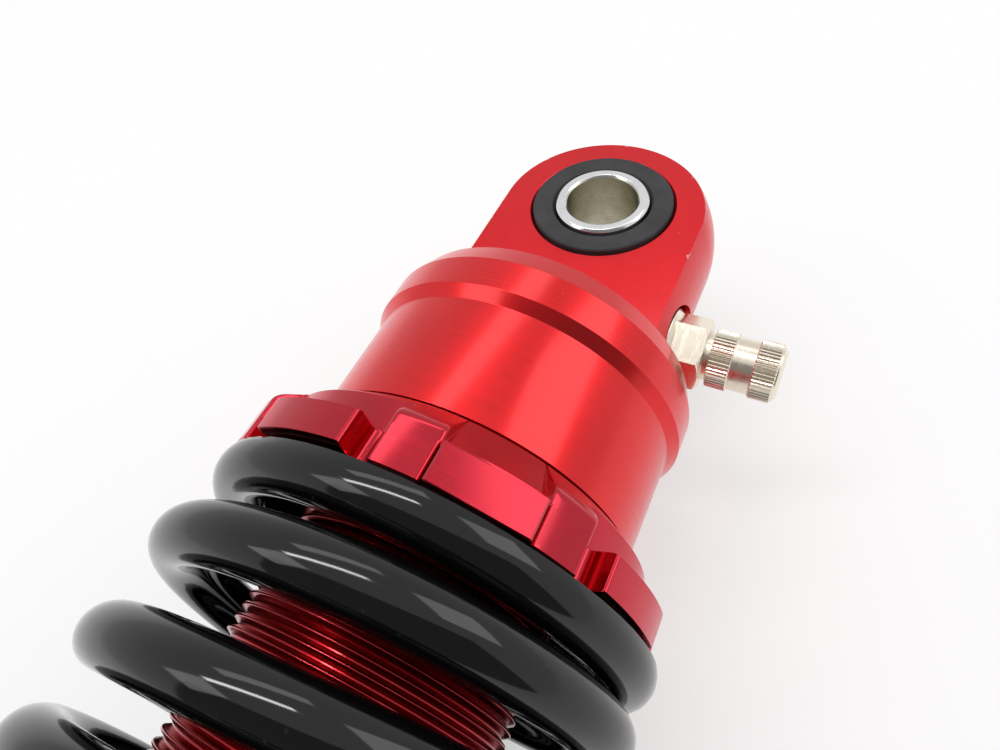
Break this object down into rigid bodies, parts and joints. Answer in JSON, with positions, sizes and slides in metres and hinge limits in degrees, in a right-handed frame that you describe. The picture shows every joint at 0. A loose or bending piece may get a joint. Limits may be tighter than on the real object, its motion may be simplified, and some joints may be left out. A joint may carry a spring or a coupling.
{
  "type": "rear shock",
  "caption": "Coil-over rear shock with a gas reservoir in its red cap, a knurled gas valve, a crimson preload ring on a threaded tube and a gloss black spring between two bushed eyes.",
  "frame": {"origin": "centre of the upper eye's bolt bore", "axes": "+X along the shock from the lower eye to the upper eye, +Z along both eye bores, the gas valve points to -Y"},
  "size_m": [0.2976, 0.0687, 0.066],
  "materials": {
    "red_anodised": "satin red anodised, turned and milled",
    "crimson_anodised": "glossy crimson anodised, milled",
    "dark_red_anodised": "dark red anodised, threaded",
    "black_enamel": "gloss black enamel on spring steel",
    "bush_rubber": "matte moulded rubber",
    "bright_steel": "bright plated steel",
    "nickel_plate": "nickel plated, slightly warm",
    "valve_brass": "plain brass",
    "plain_alloy": "plain machined alloy",
    "seal_rubber": "smooth seal rubber",
    "guide_bronze": "bronze-filled bearing lining",
    "plain_steel": "ground steel",
    "elastomer": "cellular polyurethane"
  },
  "bodies": {
    "damper": {"eyelet_cap": "red_anodised", "upper_bush_rubber": "bush_rubber", "valve_body": "nickel_plate", "valve_washer": "seal_rubber", "valve_core": "valve_brass", "damper_tube": "dark_red_anodised", "tube_o_ring": "seal_rubber", "seal_head": "plain_alloy", "seal_head_o_ring": "seal_rubber", "shaft_guide_bush": "guide_bronze", "shaft_seal": "seal_rubber", "shaft_wiper": "seal_rubber"},
    "upper_sleeve": {"upper_bush_sleeve": "bright_steel"},
    "spring_top": {"spring_washer": "black_enamel", "coil_spring": "black_enamel"},
    "preload_ring": {"preload_ring": "crimson_anodised"},
    "floating_piston": {"floating_piston": "plain_alloy", "floating_piston_o_ring": "seal_rubber"},
    "shaft_assembly": {"damper_shaft": "bright_steel", "top_out_bumper": "elastomer", "rebound_shims": "plain_steel", "main_piston": "plain_alloy", "piston_band": "guide_bronze", "compression_shims": "plain_steel", "piston_nut": "plain_steel", "bump_washer": "plain_steel", "bump_stop": "elastomer", "lower_spring_perch": "crimson_anodised", "lower_eyelet": "red_anodised", "lower_bush_rubber": "bush_rubber"},
    "lower_sleeve": {"lower_bush_sleeve": "bright_steel"},
    "cap_travel": {"valve_cap_gasket": "seal_rubber"},
    "valve_cap": {"valve_cap": "nickel_plate"},
    "valve_pin": {"valve_core_pin": "valve_brass"}
  },
  "joints": [
    {"name": "shock_stroke", "type": "slide", "parent": "damper", "child": "shaft_assembly", "axis": [1, 0, 0], "range_m": [0, 0.045], "stiffness_N_per_m": 9350, "springref_m": -0.005, "deforming": ["coil_spring"]},
    {"name": "floating_piston_slide", "type": "slide", "parent": "damper", "child": "floating_piston", "axis": [1, 0, 0], "range_m": [0, 0.006]},
    {"name": "preload_travel", "type": "slide", "parent": "damper", "child": "spring_top", "axis": [-1, 0, 0], "range_m": [0, 0.006], "deforming": ["coil_spring"]},
    {"name": "preload_turn", "type": "hinge", "parent": "spring_top", "child": "preload_ring", "pos_m": [-0.055, 0, 0], "axis": [-1, 0, 0], "range_deg": [0, 1440]},
    {"name": "cap_travel", "type": "slide", "parent": "damper", "child": "cap_travel", "axis": [0, -1, 0], "range_m": [0, 0.00795]},
    {"name": "cap_turn", "type": "hinge", "parent": "cap_travel", "child": "valve_cap", "pos_m": [-0.0188, -0.025, 0], "axis": [0, -1, 0], "range_deg": [0, 3605]},
    {"name": "valve_pin_press", "type": "slide", "parent": "damper", "child": "valve_pin", "axis": [0, 1, 0], "range_m": [0, 0.0012], "stiffness_N_per_m": 500, "springref_m": -0.001},
    {"name": "upper_sleeve_twist", "type": "hinge", "parent": "damper", "child": "upper_sleeve", "pos_m": [0, 0, 0], "axis": [0, 0, 1], "range_deg": [-20, 20], "stiffness_Nm_per_rad": 29},
    {"name": "lower_sleeve_twist", "type": "hinge", "parent": "shaft_assembly", "child": "lower_sleeve", "pos_m": [-0.26, 0, 0], "axis": [0, 0, 1], "range_deg": [-20, 20], "stiffness_Nm_per_rad": 29}
  ],
  "couplings": [
    {"joint": "floating_piston_slide", "follows": "shock_stroke", "ratio": 0.1225},
    {"joint": "preload_turn", "follows": "preload_travel", "rad_per_m": 4188.8},
    {"joint": "cap_turn", "follows": "cap_travel", "rad_per_m": 7913.3}
  ]
}
